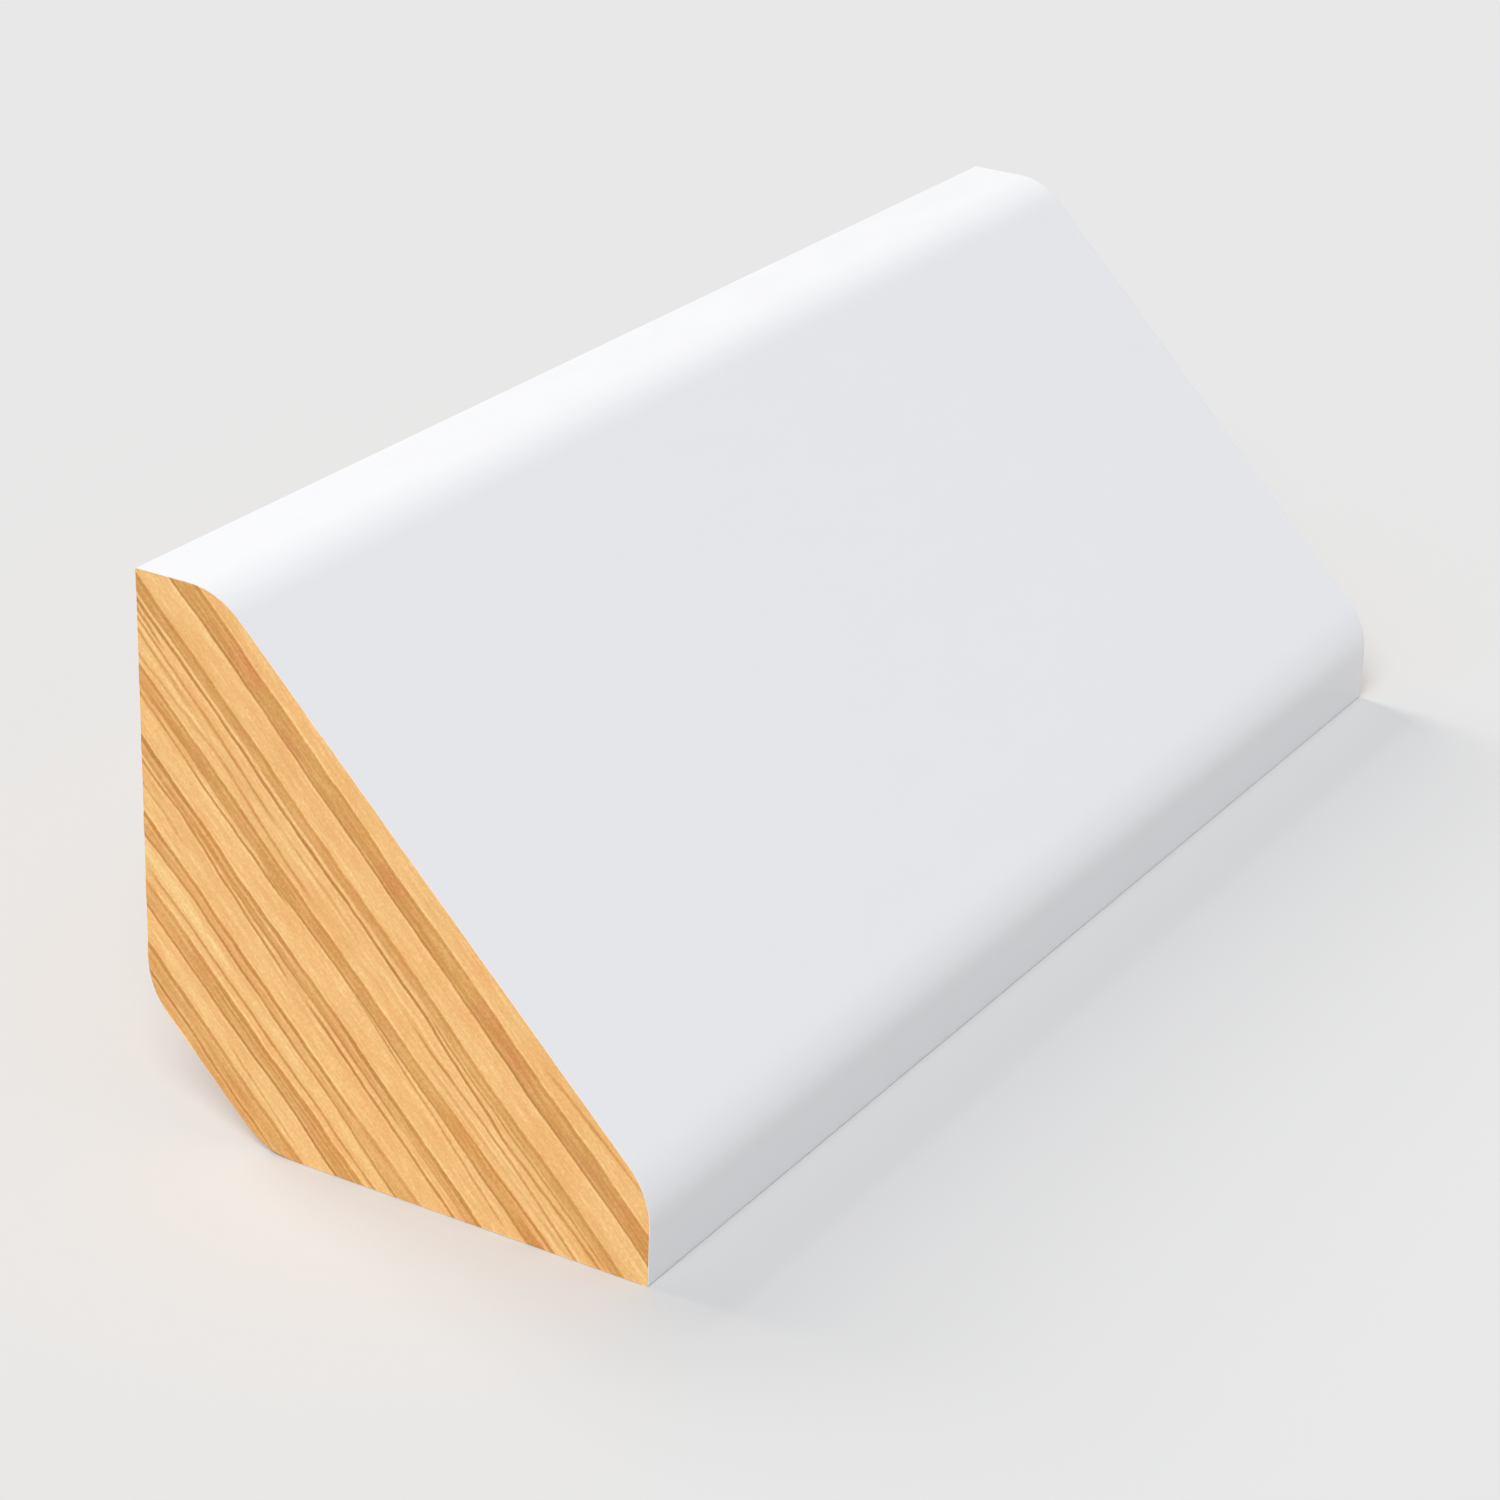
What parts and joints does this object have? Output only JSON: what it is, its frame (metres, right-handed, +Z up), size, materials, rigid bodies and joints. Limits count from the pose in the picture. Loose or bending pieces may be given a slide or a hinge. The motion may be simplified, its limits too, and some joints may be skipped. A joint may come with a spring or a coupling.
{
  "type": "triangle moulding",
  "caption": "Short straight length of triangular softwood corner moulding, white-coated on its show faces, with blunt edges, a relieved back corner and square-cut ends.",
  "frame": {"origin": "on the flat underside, under the middle of the moulding's bounding box", "axes": "+X along the moulding, +Y towards the wall behind it, +Z up; the sloping show face looks towards -Y and +Z"},
  "size_m": [0.06, 0.021, 0.021],
  "materials": {
    "white_paint": "satin",
    "bare_timber": "matte"
  },
  "bodies": {
    "root": {"moulding": "white_paint"}
  },
  "joints": []
}
